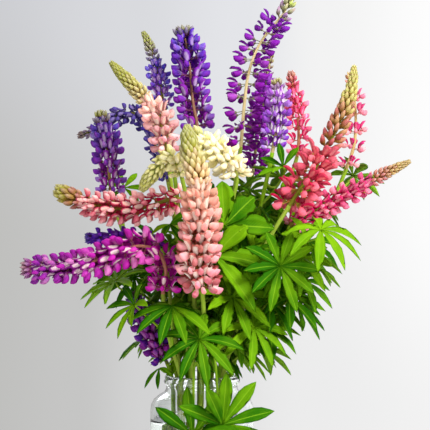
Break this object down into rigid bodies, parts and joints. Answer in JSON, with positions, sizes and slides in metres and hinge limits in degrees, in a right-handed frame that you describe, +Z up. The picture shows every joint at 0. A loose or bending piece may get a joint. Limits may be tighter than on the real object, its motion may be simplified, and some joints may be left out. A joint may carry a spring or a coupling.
{
  "type": "bouquet of lupin flower spikes in a glass jar",
  "caption": "Cut garden lupins with leafy stems, their many-coloured flower spikes fanned out of a clear glass jar of water.",
  "frame": {"origin": "centre of the glass jar's flat underside", "axes": "+Z up along the jar's axis, +X to the bouquet's right, -Y out of its front"},
  "size_m": [0.417, 0.2429, 0.609],
  "materials": {
    "clear_glass": "gloss",
    "water": "gloss",
    "lupin_green": "satin",
    "magenta_petals": "matte",
    "rose_petals": "matte",
    "salmon_petals": "matte",
    "pale_salmon_petals": "matte",
    "cream_buds": "matte",
    "white_petals": "matte",
    "indigo_petals": "matte",
    "dark_indigo_petals": "matte",
    "blue_petals": "matte",
    "violet_petals": "matte",
    "purple_petals": "matte",
    "lilac_petals": "matte",
    "plum_petals": "matte",
    "hot_pink_petals": "matte",
    "coral_petals": "matte",
    "pink_petals": "matte",
    "soft_pink_petals": "matte",
    "deep_purple_petals": "matte",
    "deep_violet_petals": "matte"
  },
  "bodies": {
    "root": {"glass_jar": "clear_glass", "water": "water", "magenta_left_leafy_stem": "lupin_green", "magenta_left_head": "magenta_petals", "rose_left_leafy_stem": "lupin_green", "rose_left_head": "rose_petals", "salmon_front_leafy_stem": "lupin_green", "salmon_front_head": "salmon_petals", "salmon_high_leafy_stem": "lupin_green", "salmon_high_head": "pale_salmon_petals", "cream_nodding_leafy_stem": "lupin_green", "cream_nodding_head": "cream_buds", "white_middle_leafy_stem": "lupin_green", "white_middle_head": "white_petals", "indigo_left_leafy_stem": "lupin_green", "indigo_left_head": "indigo_petals", "indigo_arching_leafy_stem": "lupin_green", "indigo_arching_head": "dark_indigo_petals", "blue_high_leafy_stem": "lupin_green", "blue_high_head": "blue_petals", "violet_high_leafy_stem": "lupin_green", "violet_high_head": "violet_petals", "purple_tall_leafy_stem": "lupin_green", "purple_tall_head": "purple_petals", "lilac_right_leafy_stem": "lupin_green", "lilac_right_head": "lilac_petals", "plum_right_leafy_stem": "lupin_green", "plum_right_head": "plum_petals", "rose_high_leafy_stem": "lupin_green", "rose_high_head": "hot_pink_petals", "coral_right_leafy_stem": "lupin_green", "coral_right_head": "coral_petals", "pink_behind_leafy_stem": "lupin_green", "pink_behind_head": "pink_petals", "pink_low_right_leafy_stem": "lupin_green", "pink_low_right_head": "soft_pink_petals", "purple_behind_leafy_stem": "lupin_green", "purple_behind_head": "deep_purple_petals", "violet_low_leafy_stem": "lupin_green", "violet_low_head": "deep_violet_petals"}
  },
  "joints": []
}
